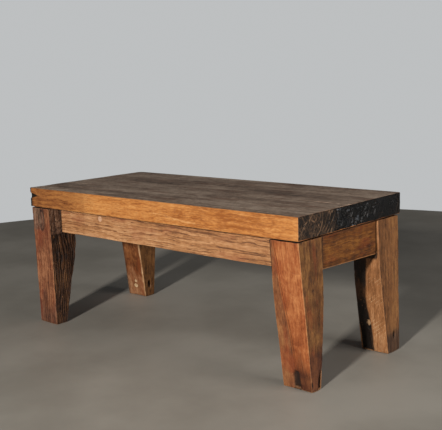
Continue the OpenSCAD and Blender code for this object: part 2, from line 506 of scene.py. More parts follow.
print("every piece rides on the one rigid body")

# %% [markdown]
# ## Old wood
#
# All the timber shares one recipe, because the same things make up its figure: year rings around
# the heart of the tree, fibres and pores along the grain, and slow changes of tone. The rings are
# the distance from the heart, an axis that lies beside the beam and leans a little, so that a face
# shows straight lines where it cuts the rings squarely and arches where it runs along them. What
# differs from piece to piece is a handful of numbers and the colours.

# %% The wood recipe
# The darks laid over the wood: painted shade in hollows, and grime with painted shade.
HOLLOW_COLOUR = srgb("#120a06")
GRIME_AND_SHADE_COLOUR = srgb("#1e140e")
AXES = {"X": (0, 1, 2), "Y": (1, 0, 2), "Z": (2, 0, 1)}
SHARES = {"ring": 0.2, "streak": 0.6, "line": 0.35, "fleck": 0.3, "tone": 0.55, "blotch": 0.3,
          "blush": 0.4, "edge": 0.5, "speck": 0.35}
SCRATCH_WAYS = ((38, 1), (-52, 2), (64, 3))
BUMP_DEPTH = 0.0012
WOOD_SPECULAR = 0.32
PALETTE_PLACES = (0.12, 0.5, 0.88)


def palette(codes):
    """Stops of a colour ramp: the codes of the dark, the middle and the light wood of a face."""
    return list(zip(PALETTE_PLACES, map(srgb, codes.split())))


def scratches(recipe, first, second, turn, seed):
    """Long thin lines across a face: where a noise stretched along the turned way crosses a half."""
    c, s = np.cos(radians(turn)), np.sin(radians(turn))
    place = recipe.add("ShaderNodeCombineXYZ", {}, (
        (first * c + second * s) * 7.0, (second * c - first * s) * 46.0, seed))
    line = abs(recipe.noise(place, detail=1.0) - 0.5).ramp(0.012, 0.003)
    return line * recipe.noise(place, scale=0.6, detail=1.0).ramp(0.42, 0.6)


def old_wood(name, along, heart, lean, ring, colours, layers=None, shine=None, blush="#8a3a1c",
             shares=None, edge_colour="#c08a5c", roughness=0.5, bump=0.5, scratch_colour=None):
    """A material for sawn timber whose grain runs along one axis.

    figure = 0.5 plus each pattern less its mean, times its share. The palette turns the figure into
    the colour of the bare wood, and each of the layers lays another palette over it where the mesh's
    mask says, and shine makes it glossier. Then come scratches, a blush in soft patches, grime with
    painted shade, worn edges, specks and the painted shade of hollows.
    """
    share = {**SHARES, **(shares or {})}
    recipe = Recipe(name)
    place = recipe.add("ShaderNodeTexCoord", {}, {}, "Object")
    parts = recipe.add("ShaderNodeSeparateXYZ", {}, (place,)).socket.node
    long_way, first, second = (Wire(recipe, parts.outputs[i]) for i in AXES[along])
    wander = recipe.noise(place, scale=9.0, detail=2.0) - 0.5

    def stretched(long_scale, cross_scale, bend=0.0):
        """Places scaled apart along and across the grain, with the cross ones wandering by bend."""
        drift = wander * bend
        return recipe.add("ShaderNodeCombineXYZ", {}, (
            long_way * long_scale, (first + drift) * cross_scale, (second + drift) * cross_scale))

    a = first - heart[0] - long_way * lean[0]
    b = second - heart[1] - long_way * lean[1]
    radius = (a * a + b * b) ** 0.5 + wander * 0.03
    phase = (radius / ring).math("FRACT", radius / ring)
    rings = phase ** 2.5
    streaks = recipe.noise(stretched(5.0, 170.0, 0.012), detail=4.0, roughness=0.62)
    fibres = recipe.noise(stretched(24.0, 520.0, 0.02), detail=3.0, roughness=0.6)
    lines = recipe.noise(stretched(7.0, 380.0, 0.012), detail=2.0).ramp(0.54, 0.64)
    flecks = recipe.noise(stretched(75.0, 260.0), detail=3.0, roughness=0.6)
    pores = recipe.noise(stretched(90.0, 1300.0), detail=1.0).ramp(0.60, 0.72)
    tone = recipe.noise(stretched(2.6, 15.0), detail=3.0)
    blotch = recipe.noise(place, scale=34.0, detail=4.0, roughness=0.65)

    figure = (0.5 - (rings - 0.3) * share["ring"] - (lines - 0.2) * share["line"]
              + (streaks - 0.5) * share["streak"] * 2.0 + (fibres - 0.5) * share["streak"] * 1.5
              + (flecks - 0.5) * share["fleck"] * 2.0 + (tone - 0.5) * share["tone"] * 2.0
              + (blotch - 0.5) * share["blotch"] * 2.0 - pores * 0.14)
    colour = recipe.add("ShaderNodeValToRGB", {"stops": palette(colours)}, (figure,))
    gloss = 0.0
    for mask_name, layer_colours in (layers or {}).items():
        layer = recipe.add("ShaderNodeValToRGB", {"stops": palette(layer_colours)}, (figure,))
        amount = (recipe.mask(mask_name) + (streaks - 0.5) * 0.4 + (blotch - 0.5) * 0.4).ramp(0.3, 0.7)
        colour = recipe.mix(amount, colour, layer)
        gloss = amount * (shine or {}).get(mask_name, 0.0) + gloss
    if scratch_colour:
        lines_across = [scratches(recipe, first, second, *way) for way in SCRATCH_WAYS]
        scratched = sum(lines_across, 0.0) * recipe.mask("scratched")
        colour = recipe.mix(scratched.ramp(0.1, 0.8) * 0.8, colour, srgb(scratch_colour))
    patches = recipe.noise(stretched(9.0, 26.0), detail=3.0).ramp(0.5, 0.68)
    blushing = patches * (1.0 - recipe.mask("plain")).ramp(0.0, 1.0) * share["blush"]
    colour = recipe.mix(blushing, colour, srgb(blush))
    # Grime with painted shade, near joints, rims and feet.
    grime = (recipe.mask("grime") + (blotch - 0.5) * 0.9 + (streaks - 0.5) * 0.5).ramp(0.35, 0.85)
    colour = recipe.mix(grime * 0.8, colour, GRIME_AND_SHADE_COLOUR)
    worn = (recipe.mask("edge") + (fibres - 0.5) * 0.7 + (blotch - 0.5) * 0.8).ramp(0.45, 0.9)
    colour = recipe.mix(worn * share["edge"], colour, srgb(edge_colour))
    specks = recipe.noise(stretched(90.0, 210.0), detail=2.0).ramp(0.68, 0.74)
    colour = recipe.mix(specks * share["speck"], colour, srgb(edge_colour))
    # Painted shade in hollows, and the few dark marks that share it.
    hollow = recipe.mask("hollow")
    colour = recipe.mix(hollow.ramp(0.08, 0.75), colour, HOLLOW_COLOUR)
    height = fibres * 0.5 + streaks * 0.6 - rings * 0.2 - pores * 0.7 - lines * 0.8 + blotch * 0.3
    normal = recipe.add("ShaderNodeBump", {}, {
        "Strength": bump, "Distance": BUMP_DEPTH, "Height": height})
    rough = (roughness + (streaks - 0.5) * 0.25 - gloss + hollow * 0.3).ramp(0.0, 1.0)
    return recipe.finish(
        Base_Color=colour, Roughness=rough, Normal=normal, Specular_IOR_Level=WOOD_SPECULAR)


print("the wood recipe is ready")

# %% [markdown]
# ## The seat plank
#
# The seat is a single thick plank. Its top is dark and worn smooth, its front edge was planed
# lately and is a bright orange, with a band of painted sheen and with painted shade towards the left
# end, and its right end is black with old tar, gouged and scratched, with painted glints. The
# corners have different roundings in plan, the left end has split and has a dark wedge-shaped nick,
# and the lower edge of the right end is broken. Long fine cracks follow the grain.

# %% Shape the plank
PLANK_STEPS = (6.6 * MM, 2.6 * MM, 2.0 * MM)
PLANK_RIM = 6 * MM
PLANK_CORNERS = {(-1, -1): 2 * MM, (1, -1): 2 * MM, (1, 1): 4 * MM, (-1, 1): 18 * MM}
TOP_CRACKS = [
    {"start": (0.335, -0.016), "end": (0.53, -0.026), "width": 2.6 * MM, "depth": 3.0 * MM},
    {"start": (-0.42, 0.052), "end": (0.06, 0.062), "width": 1.8 * MM, "depth": 1.2 * MM},
    {"start": (-0.55, -0.092), "end": (-0.36, -0.084), "width": 2.4 * MM, "depth": 3.0 * MM},
    {"start": (0.05, 0.150), "end": (0.36, 0.146), "width": 1.8 * MM, "depth": 1.4 * MM},
]
# Holes in the right end: the place from the front, the depth below the top, and the radius in mm
END_HOLES = [(0.02, 0.022, 3), (0.055, 0.030, 2.4), (0.33, 0.012, 3), (0.41, 0.02, 2.5)]
GOUGES = 12
# Splits in the left end: the depth below the top, and the reach from the front
END_SPLITS = [(0.018, 0.11), (0.036, 0.2), (0.043, 0.07)]
NICK_HEIGHT = 0.024
NICK_REACH = 0.034
NICK_HALF = 9.5 * MM


def round_in_plan(points, low, high):
    """Rounds the four upright corners: in each corner's square, the larger offset becomes the
    distance from the square's inner corner, which turns the square into a quarter disc."""
    points = points.copy()
    middle = (low + high) / 2
    half = (high - low) / 2
    side = points[:, :2] - middle[:2]
    for (sign_x, sign_y), radius in PLANK_CORNERS.items():
        sign = np.array([sign_x, sign_y])
        offset = side * sign - (half[:2] - radius)
        inside = (offset > 0).all(axis=1)
        large = offset.max(axis=1)
        far = np.maximum(np.linalg.norm(offset, axis=1), 1e-9)
        scaled = offset * (large / far)[:, None]
        moved = middle[:2] + sign * (half[:2] - radius + scaled)
        points[inside, :2] = moved[inside]
    return points


def plank_relief(p, away, low, high):
    """The marks of the plank's faces, as a sum of terms.

    Slow hills and furrows along the grain cover the long faces, and cracks follow the top. Random
    gouges and ridges raised to a power tear the middle of the right end, under round holes, and
    hills bite into its lower edge. The nick at the left end is a parabola whose height shrinks
    with the distance from the end.
    """
    x, y, z = p.T
    top, under = facing(away, 2, 1), facing(away, 2, -1)
    front, right_end, left_end = facing(away, 1, -1), facing(away, 0, 1), facing(away, 0, -1)
    ends = right_end + left_end
    below_top = high[2] - z
    from_front = y - low[1]
    from_left = x - low[0]

    relief = Relief(0.5 * MM * (1 + hills(p, (0.30, 0.06, 0.06), 3)) * (1 - ends))
    relief.cut(furrows(p, (0.22, 0.007, 0.007), 4) * (top + under), 0.45 * MM)
    relief.cut(furrows(p, (0.10, 0.006, 0.006), 5) * front, 0.25 * MM)
    for seed, line in enumerate(TOP_CRACKS):
        mark = crack(x, y, line["start"], line["end"], line["width"], 1.5 * MM, 40 + seed) * top
        relief.cut(mark, line["depth"], 1.0)

    relief.cut((1 + fine_hills(p, (0.02, 0.03, 0.014), 7)) * ends, 0.5 * MM)
    torn = bell((from_front - 0.215) / 0.085) * right_end
    ridges = 1 - np.abs(fine_hills(p, (0.02, 0.020, 0.015), 8))
    relief.cut(torn * ridges ** 3, 4 * MM)
    # Painted glints: pale grey-blue flecks on the ridges of the torn tar stand in for highlights.
    glint_flecks = fine_hills(p, (1, 0.022, 0.007), 9) - 0.5 * np.abs(fine_hills(p, (1, 0.01, 0.01), 10))
    relief.masks["chipped"] = unit((glint_flecks - 0.28) / 0.25) * torn
    rng = np.random.default_rng(12)
    for _ in range(GOUGES):
        middle = (rng.uniform(0.12, 0.34), rng.uniform(0.012, 0.046))
        size = (rng.uniform(6, 13) * MM, rng.uniform(2.6, 4.2) * MM)
        gouge = dent(from_front, below_top, middle, size, rng.uniform(-75, -20)) * right_end
        relief.cut(gouge, 4 * MM, 0.5)
    for along, height, size in END_HOLES:
        hole = dent(from_front, below_top, (along, height), (size * MM, 1.4 * size * MM))
        relief.cut(hole * right_end, 4 * MM, 1.0)
    bite = unit(hills(p, (1, 0.028, 1), 17) - 0.1) * right_end
    relief.cut(bite * unit(1 - (z - low[2]) / 0.012), 7 * MM)

    nick_share = unit(1 - from_left / NICK_REACH)
    nick_half = NICK_HALF * np.maximum(nick_share, 1e-6) ** 0.7
    nick = unit(1 - ((below_top - NICK_HEIGHT) / nick_half) ** 2) * (nick_share > 0)
    nick = nick * (front + left_end)
    relief.cut(nick ** 0.6, 4.5 * MM)
    relief.cut(nick ** 0.5, 0.0, 1.0)
    # Painted shade on the rough rounded left front edge, which is also sunk a little.
    shaded_edge_reach = 0.007 + 0.003 * hills(p, (1, 1, 0.012), 18) + 0.006 * (below_top > 0.026)
    shaded_left_edge = unit(1.8 - 1.8 * from_left / shaded_edge_reach)
    relief.cut(shaded_left_edge * unit(-3 * away[:, 1] + left_end), 0.3 * MM, 0.9)
    for height, reach in END_SPLITS:
        split = crack(y, below_top, (low[1] - 0.02, height), (low[1] + reach, height + 0.004),
                      3.0 * MM, 2.0 * MM, 60)
        relief.cut(split * left_end, 3 * MM, 1.0)
    return relief


def shape_plank():
    """The plank's points, faces and masks. Its edges wear more at the right end than elsewhere."""
    low, high = (np.array(corner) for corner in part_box("seat_plank"))
    crack_lines = [(line["start"][1], 3 * MM, 1.2 * MM) for line in TOP_CRACKS]
    points, quads = block_skin(low, high, PLANK_STEPS, PLANK_RIM, crack_lines)
    wear = 0.5 + 0.5 * fine_hills(points, (0.05, 0.04, 0.03), 11)
    at_right = unit((points[:, 0] - high[0] + 0.03) / 0.03)
    at_bottom = points[:, 2] < (low[2] + high[2]) / 2
    at_back = unit((points[:, 1] - high[1] + 0.05) / 0.05)
    radius = 1.2 + 1.2 * wear + at_right * (wear * np.where(at_bottom, 3.0, 1.2) + 1.0 * at_back)
    worn, away = worn_block(points, low, high, radius * MM)
    relief = plank_relief(points, away, low, high)
    shaped = round_in_plan(worn, low, high) - away * relief.sunk[:, None]
    edge = unit(1 - edge_distance(points, low, high) / 0.004)
    front = facing(away, 1, -1)
    end = facing(away, 0, 1)
    tar = unit((points[:, 1] - low[1] - 0.10) / 0.08 + 0.25 * hills(points, (1, 0.03, 0.02), 21)) * end
    below_top = high[2] - points[:, 2]
    above_base = points[:, 2] - low[2]
    from_left = points[:, 0] - low[0]
    rim = np.maximum(1 - below_top / 0.0045, 0.75 - above_base / 0.004)
    # A painted highlight: a lighter band of sheen that slants along the front edge.
    glow = crack(points[:, 0], below_top, (0.02, 0.030), (0.24, 0.054), 10 * MM, 2 * MM, 61)
    masks = {
        **relief.masks, "edge": edge * (1 - end),
        "top": np.maximum(facing(away, 2, 1), facing(away, 1, 1) * 0.8),
        # Painted shade: the front darkens towards the left end.
        "fresh": front, "glow": 0.6 * glow * front, "shade": front * unit(1.2 - from_left / 0.34),
        # The top and bottom rims of the front are darkened: painted shade with grime.
        "grime": unit(rim) * front * 0.75,
        "end": end + facing(away, 0, -1), "tar": tar, "plain": front + end,
        "scratched": np.maximum(end * unit(1.15 - tar), 0.25 * end),
    }
    return shaped, quads, masks


plank_shape = shape_plank()
print("the plank has", len(plank_shape[0]), "points")

# %% Finish the plank
plank_wood = old_wood(
    "plank_wood", "X", heart=(-0.9, -0.35), lean=(0.02, 0.03), ring=0.011,
    colours="#5c3216 #99582a #bd7c42",
    layers={
        "top": "#56473d #937d6d #c3b09e",
        "fresh": "#965828 #ba7a40 #ce9356",
        # The layer below is painted shade on the front towards the left end.
        "shade": "#5c3318 #86522b #a66e3a",
        # The layer below is the painted highlight band on the front edge.
        "glow": "#a86c38 #cc9258 #dcae7c",
        "end": "#080504 #20160f #5a4230",
        "tar": "#010102 #040405 #0e0e11",
        # The layer below paints those glints on the tar.
        "chipped": "#121416 #303338 #6c7076",
    },
    shine={"top": 0.06, "fresh": 0.04, "tar": 0.12, "chipped": 0.2},
    shares={"ring": 0.15, "streak": 0.55, "line": 0.12, "fleck": 0.5, "tone": 0.7, "blush": 0.3},
    blush="#6a3a20", edge_colour="#8a6244", roughness=0.5, bump=0.5, scratch_colour="#7d6048")
add_piece("seat_plank_top", "seat_plank", *plank_shape, "seat_wood", plank_wood)

# %% [markdown]
# ## The legs
#
# Each leg is a beam sawn to a slant: its outer faces run straight from the seat to the floor, and
# its inner faces stay upright down to a knee and then taper to the foot. The four legs come from
# different old beams, so each has its own taper, its own furrows and its own old cuts. A leg is
# shaped in its corner's own directions: u runs inward along the bench from the outer end face, v
# inward across it, and z up. The taper comes last, as a change of width with height.

# %% Read a leg's size from the frame
KNEE_HEIGHT = 225 * MM
LEG_STEPS = np.array([2.0, 2.0, 2.6]) * MM
LEG_RIM = 5 * MM
CORNER_SIGNS = {"front_left": (-1, -1), "front_right": (1, -1),
                "rear_right": (1, 1), "rear_left": (-1, 1)}


def leg_frame(corner):
    """The leg's outer corner, its signs, its width and depth at the top, and its foot's low and
    high u and v, all measured on the design node."""
    sign = np.array(CORNER_SIGNS[corner])
    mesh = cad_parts["leg_" + corner].data
    flat = np.empty(3 * len(mesh.vertices))
    mesh.vertices.foreach_get("co", flat)
    places = flat.reshape(-1, 3)
    height = places[:, 2].max()
    top = places[places[:, 2] > height - 0.01 * MM][:, :2] * sign
    outer = top.max(axis=0)
    foot = outer - places[places[:, 2] < 0.01 * MM][:, :2] * sign
    return {"sign": sign, "outer": outer, "size": outer - top.min(axis=0), "height": height,
            "foot_low": foot.min(axis=0), "foot_high": foot.max(axis=0)}


for corner in CORNER_SIGNS:
    measured = leg_frame(corner)
    print(corner, "is", np.round(measured["size"] / MM), "mm at the top and",
          np.round((measured["foot_high"] - measured["foot_low"]) / MM), "mm at the foot")

# %% Shape a leg
def taper(local, leg):
    """Slants the beam. Outer faces go straight from foot to top; inner faces go straight from foot
    to knee and are upright above it. A point keeps its share of the way between the two."""
    local = local.copy()
    rise = (local[:, 2] / leg["height"])[:, None]
    knee = local[:, 2] / KNEE_HEIGHT
    knee = (knee - np.logaddexp(0, 14 * (knee - 1)) / 14)[:, None]
    outer = leg["foot_low"] * (1 - rise)
    inner = leg["foot_high"] + (leg["size"] - leg["foot_high"]) * knee
    share = local[:, :2] / leg["size"]
    local[:, :2] = outer + share * (inner - outer)
    return local


def leg_faces(away):
    """How much each point belongs to each of the leg's four long faces."""
    return {"outer_side": unit(-3 * away[:, 1]),
            "outer_end": facing(away, 0, -1), "inner_end": facing(away, 0, 1),
            "outer_face": facing(away, 1, -1), "inner_face": facing(away, 1, 1)}


def shape_leg(corner, seed, marks, edge_radius=(1.5, 2.5)):
    """A leg's points, faces and masks. marks adds the leg's own marks to the common wear."""
    leg = leg_frame(corner)
    low = np.zeros(3)
    high = np.array([*leg["size"], leg["height"]])
    points, quads = block_skin(low, high, LEG_STEPS, LEG_RIM)
    wear = 0.5 + 0.5 * fine_hills(points, (0.03, 0.03, 0.06), seed)
    nicks = unit(hills(points, (0.05, 0.05, 0.012), seed + 7) - 0.45) * 5
    radius = (edge_radius[0] + edge_radius[1] * wear + nicks) * MM
    worn, away = worn_block(points, low, high, radius)
    faces = leg_faces(away)
    relief = Relief(0.7 * MM * (1 + hills(points, (0.05, 0.05, 0.09), seed + 1)))
    relief.cut(furrows(points, (0.006, 0.006, 0.12), seed + 2), 0.3 * MM)
    below_seat = high[2] - points[:, 2]
    # The joint under the seat is sunk and painted dark as shade, and the top and the foot are darkened
    # too, with painted shade and grime.
    shaded_joint = unit((3.2 - below_seat / MM + 2 * hills(points, (0.012, 0.012, 1), seed + 6)) / 1.5)
    relief.cut(shaded_joint, 2.2 * MM, 0.9)
    relief.masks |= {
        "edge": unit(1 - edge_distance(points, low, high) / 0.005),
        "grime": unit(1 - below_seat / 0.006) + 0.6 * unit(1 - points[:, 2] / 0.02),
        "foot": unit(1.1 - points[:, 2] / 0.11 + 0.4 * hills(points, (0.03, 0.03, 0.05), seed + 5)),
    }
    shift = marks(points, faces, high, relief)
    shaped = taper(worn - away * relief.sunk[:, None], leg)
    shaped[:, :2] += shift
    sign = leg["sign"]
    shaped[:, :2] = (leg["outer"] - shaped[:, :2]) * sign
    if sign.prod() < 0:
        quads = quads[:, ::-1]
    return shaped, quads, relief.masks


print("a leg is shaped in steps of", LEG_STEPS / MM, "mm")

# %% [markdown]
# ### The marks of each leg
#
# The front left leg was the outside of a weathered post: its inner end face has deep upright
# furrows and a wavy edge. The front right leg has a slot at its foot. The rear right one is dark on
# one side, partly from a stain and partly from painted shadow of the front right leg and of the rail
# above, and has a short slot above a rebate that runs out at the floor, a small hole and the slanting
# marks of a saw. Its slot is painted dark as shade, with a painted glint on its pale bottom. The rear
# left one has a round-ended hole and two spots of putty. Where each front leg meets its rail, a dark
# strip of painted shade runs down the leg's edge. Each function below adds its marks to the relief
# and returns how far the points shift sideways.

# %% Marks on the front left leg
# Ring-shaped grooves in the outer face: the middle and the half sizes, in u and z
LOOPS = [((0.043, 0.322), (0.012, 0.030)), ((0.040, 0.318), (0.004, 0.016)),
         ((0.019, 0.325), (0.005, 0.020))]
GROOVE_SPACING = 0.0090


def front_left_marks(p, faces, high, relief):
    """Grooves are a cosine across the face that drifts with slow hills. Above the rail they give
    way to a burl, whose curls lie where fine hills cross 0. Each loop is a thin ellipse. The edge
    bulges by a bell curve of the height."""
    u, v, z = p.T
    masks = relief.masks
    inner, face = faces["inner_end"], faces["outer_face"]
    below_rail = unit((0.285 - z) / 0.01)
    drift = 0.009 * hills(p, (1, 0.025, 0.07), 90) + 0.003 * hills(p, (1, 0.008, 0.03), 89)
    groove = 0.5 + 0.5 * np.cos(2 * np.pi * (v + drift) / GROOVE_SPACING)
    groove = groove * (0.65 + 0.35 * hills(p, (1, 0.01, 0.05), 96)) * inner * below_rail
    relief.cut(groove, 3.4 * MM, 0.6)
    masks["ridge"] = unit(0.45 - groove) * 1.8 * inner * below_rail
    burl = inner * (1 - below_rail)
    relief.cut(burl * (1.0 + fine_hills(p, (0.01, 0.01, 0.012), 91)), 1.4 * MM)
    curl = np.abs(fine_hills(p, (1, 0.016, 0.022), 101))
    relief.cut(unit(1 - curl / 0.16) * burl, 1.6 * MM, 0.55)
    for middle, half in LOOPS:
        loop = np.abs(1 - np.hypot((u - middle[0]) / half[0], (z - middle[1]) / half[1]))
        relief.cut(unit(1 - loop / 0.25) * face, 1.6 * MM, 0.6)
    grey = unit((z - 0.275) / 0.03) * unit((0.066 - u) / 0.02)
    masks["grey"] = grey * (0.8 + 0.5 * hills(p, (0.015, 1, 0.03), 92)) * face
    masks["dark"] = masks["plain"] = inner
    masks["burl"] = burl
    masks["edge"] *= 1 - inner
    # Painted shade with grime: a dark strip along the inner edge of the face, beside the rail.
    corner = unit(1 - (high[0] - u) / 0.008) * face
    masks["grime"] += corner * unit((z - 0.25) / 0.04)
    bulge = bell((z - 0.232) / 0.045) * 3.0 * MM + 1.6 * MM * hills(
        p * (0, 0, 1), (1, 1, 0.022), 93)
    return np.stack([0 * z, (v / high[1]) * bulge * unit((0.30 - z) / 0.04)], axis=1)


print("the front left leg's grooves lie", GROOVE_SPACING / MM, "mm apart")

# %% Marks on the front right leg
# The slot at the foot: its middle, half its width and its height
FOOT_SLOT = (0.043, 0.0105, 0.052)


def front_right_marks(p, faces, high, relief):
    """The slot is a band of u below a height, both with ragged limits. The knots are the peaks of
    hills. A reddish streak, a bell curve of u, slants down the outer face beside a darker band, and
    fine ticks, a sine of z, mark its corner."""
    u, v, z = p.T
    masks = relief.masks
    face, end = faces["outer_face"], faces["outer_end"]
    middle, half, height = FOOT_SLOT
    ragged = 0.0025 * fine_hills(p, (0.02, 0.02, 0.014), 97)
    slot = unit((half - np.abs(u - middle + ragged)) / 0.003)
    slot = slot * unit((height + 3 * ragged - z - 9 * unit(u - middle) ** 1.5) / 0.004)
    relief.cut(slot * faces["outer_side"], 11 * MM, 0.62)
    relief.cut(dent(v, z, (0.088, 0.012), (0.030, 0.040)) * end, 7 * MM, 0.5)
    knots = unit(hills(p, (1, 0.012, 0.020), 98) - 0.62) / 0.38 * end
    relief.cut(knots, 1.2 * MM, 0.7)
    masks["brown"] = end
    masks["foot"] = np.maximum(masks["foot"], unit(1.5 - z / 0.10) * end)
    streak = 0.070 - (high[2] - z) / high[2] * 0.036 + 3 * MM * hills(p * (0, 0, 1), (1, 1, 0.05), 94)
    masks["streak"] = 0.75 * bell((u - streak) / 0.0022) * face
    masks["band"] = 0.8 * unit((u - streak) / 0.006) * face
    ticks = 0.5 + 0.5 * np.sin(z / 0.0011 + 3 * hills(p, (0.02, 1, 0.02), 99))
    relief.cut(ticks * bell((u - 0.012) / 0.010) * face, 0.4 * MM)
    masks["edge"] = np.maximum(masks["edge"], 0.9 * unit(1 - u / 0.007) * face)
    # Painted shade: a dark line down the edge where the leg meets the rail, on all but the inner face.
    rail_contact_shade = unit((z - 0.278) / 0.004) * unit(1 - (high[0] - u) / 0.005)
    relief.cut(rail_contact_shade * (1 - faces["inner_face"]), 0.0, 0.9)
    return 0.0


print("the front right leg's slot is", FOOT_SLOT[2] / MM, "mm high")

# %% Marks on the rear right leg
SAW_SPACING = 0.0105


def rear_right_marks(p, faces, high, relief):
    """The slot, its pale bottom and the hole are dents; the slot is painted dark as shade, and its
    pale bottom is a painted glint of light. The saw marks are bell curves around the whole numbers of
    a slanting measure of height. The dark side, partly a stain and partly the painted shadow of the
    front right leg, begins at a distance from the outer end that swells by a bell curve of the
    height, and a painted shadow of the rail darkens the face just below the rail."""
    u, v, z = p.T
    masks = relief.masks
    inner, end = faces["inner_face"], faces["outer_end"]
    # The slot is painted dark as shade, except for a painted glint of light on its pale bottom.
    slot = unit(dent(u, z, (0.047, 0.075), (0.0055, 0.014)) * 3) * inner
    painted_slot_glint = unit(dent(u, z, (0.049, 0.078), (0.004, 0.011)) * 2) * inner
    relief.cut(slot, 10 * MM)
    relief.cut(slot * (1 - painted_slot_glint), 0.0, 1.0)
    rebate = unit((u - 0.043 - 0.10 * z) / 0.003) * unit((0.074 - z) / 0.016)
    relief.cut(rebate * inner, 5 * MM, 0.55)
    hole = unit(dent(v, z, (0.045, 0.046), (0.0100, 0.0105), 25) * 3)
    relief.cut(hole * end, 9 * MM, 1.0)
    # The dark side is partly a stain and partly painted shadow of the front right leg; the band just
    # below the rail is a painted shadow of the rail.
    edge_of_dark = 0.032 + 0.009 * bell((z - 0.14) / 0.05)
    painted_rail_shadow = unit((z - 0.250) / 0.016) * unit((u - 0.003) / 0.006)
    masks["dark"] = np.maximum(unit((u - edge_of_dark) / 0.014), painted_rail_shadow) * inner
    slant = (z + 0.9 * u - 1.5 * u * u) / SAW_SPACING
    saw = bell((slant - np.round(slant)) / 0.13)
    saw = saw * unit(hills(p, (1, 1, 0.02), 95) + 0.5)
    saw = saw * inner * unit((0.26 - z) / 0.02) * (z > 0.03)
    relief.cut(saw, 0.5 * MM)
    # The pale saw layer also paints the glint in the slot, a painted highlight.
    masks["saw"] = np.maximum(0.8 * saw * (1 - 0.85 * masks["dark"]), 0.8 * painted_slot_glint)
    masks["brown"] = end
    masks["foot"] = np.maximum(masks["foot"] * inner * 0.4,
                               unit(1.3 - z / 0.07) * end)
    return 0.0


print("the rear right leg's saw marks lie", SAW_SPACING / MM, "mm apart")

# %% Marks on the rear left leg
# Spots of putty on the inner face: the middle and the half sizes, in u and z
PUTTY = [((0.040, 0.052), (0.006, 0.006)), ((0.038, 0.036), (0.009, 0.007))]


def rear_left_marks(p, faces, high, relief):
    """The hole and the putty are dents, and a pale stripe lies along the inner corner."""
    u, v, z = p.T
    masks = relief.masks
    hole = unit(dent(v, z, (0.047, 0.042), (0.0140, 0.0135), power=2.5) * 2)
    relief.cut(hole * faces["inner_end"], 14 * MM, 1.0)
    putty = np.maximum(*(dent(u, z, middle, size) for middle, size in PUTTY))
    putty = unit(putty * 3 + 0.5 * hills(p, (0.005, 1, 0.005), 102) - 0.3)
    masks["putty"] = putty * faces["inner_face"] * 1.3
    stripe = unit(1.5 - (high[0] - u) / 0.006) * unit(1.5 - (high[1] - v) / 0.004)
    masks["stripe"] = stripe * (0.75 + 0.4 * hills(p, (1, 1, 0.03), 103))
    relief.cut(unit(1.3 - u / 0.013) * faces["inner_face"], 0.0, 0.42)
    masks["dark"] = masks["plain"] = faces["inner_end"]
    return 0.0


print("the rear left leg has", len(PUTTY), "spots of putty")

# %% Finish the legs
LEGS = {
    "front_left": {
        "seed": 100, "marks": front_left_marks, "edge_radius": (1.5, 3.5),
        "wood": dict(
            heart=(-0.62, -0.20), lean=(0.05, 0.02), ring=0.010,
            colours="#4f2a1c #76482f #a06c4c", blush="#742e1c",
            shares={"blotch": 0.6, "line": 0.2, "edge": 0.3},
            layers={
                "foot": "#3e241a #684230 #8a6048",
                "grey": "#2a1e18 #5c4334 #8a6c58",
                "dark": "#190d07 #3a2213 #5c3e22",
                "ridge": "#2a170c #4c2e1a #68452a",
                "burl": "#30201a #664a3a #967862"})},
    "front_right": {
        "seed": 120, "marks": front_right_marks, "edge_radius": (1.2, 2.2),
        "wood": dict(
            heart=(0.475, -0.36), lean=(0.03, 0.10), ring=0.012,
            colours="#74391a #9a572f #bc7c4c", blush="#8e3c1c",
            shares={"ring": 0.12, "streak": 0.35, "line": 0.12, "blotch": 0.5, "tone": 0.7},
            layers={
                "brown": "#3a210f #6a4322 #946838",
                "foot": "#2e140a #502a17 #744527",
                "band": "#54301c #7c4c2e #9c6c42",
                "streak": "#4a2412 #74401e #8a4a26"})},
    "rear_right": {
        "seed": 140, "marks": rear_right_marks, "edge_radius": (1.2, 2.2),
        "wood": dict(
            heart=(0.60, 0.30), lean=(0.02, 0.05), ring=0.014,
            colours="#6c4526 #97663f #b88a62", blush="#8a5a34",
            shares={"line": 0.2, "streak": 0.4, "edge": 0.3},
            layers={
                "brown": "#432810 #764c2b #9a6c3e",
                "foot": "#24150d #40291b #5e432f",
                # The dark layer paints the shadow of the front right leg and of the rail, with a
                # stain; the pale saw layer below it also paints the glint in the slot.
                "dark": "#0e0704 #20130b #3c2818",
                "saw": "#a88460 #c09a74 #d4b48e"})},
    "rear_left": {
        "seed": 160, "marks": rear_left_marks, "edge_radius": (1.2, 2.0),
        "wood": dict(
            heart=(-0.50, 0.33), lean=(0.03, 0.06), ring=0.016,
            colours="#4e2812 #72401f #946038", blush="#7a3a1c",
            shares={"blotch": 0.5, "line": 0.15, "edge": 0.25},
            layers={
                "foot": "#6a4326 #946544 #b08460",
                "dark": "#42270f #6a4422 #835a32",
                "stripe": "#9c7450 #b89068 #ccaa86",
                "putty": "#c0a078 #d8bc96 #e8d2b4"})},
}

for corner, recipe in LEGS.items():
    leg_wood = old_wood("leg_wood_" + corner, "Z", **recipe["wood"])
    leg_shape = shape_leg(corner, recipe["seed"], recipe["marks"], recipe["edge_radius"])
    add_piece("leg_beam_" + corner, "leg_" + corner, *leg_shape, "leg_wood", leg_wood)

# %% [markdown]
# ## The rails
#
# Four rails tie the legs together under the plank. The long ones are set well back and the end ones
# are nearly flush with the legs. Their tenons are hidden in the legs, so a rail is shaped only
# between its shoulders. Its lower edge is a wavy saw cut, which on the right rail also rises a
# little to the front, and a thin joint line stays open between its ends and the legs. A narrow band
# along the seat and the legs is painted dark as shade.

# %% Shape a rail
TENON_LENGTH = 40 * MM
JOINT_GAP = 1.4 * MM
JOINT_SHADOW = (3 * MM, 4.5 * MM)
RAIL_STEP = 3.0 * MM
RAIL_CROSS_STEP = 2.0 * MM
RAIL_RIM = 4 * MM
RAIL_CRACKS = 16


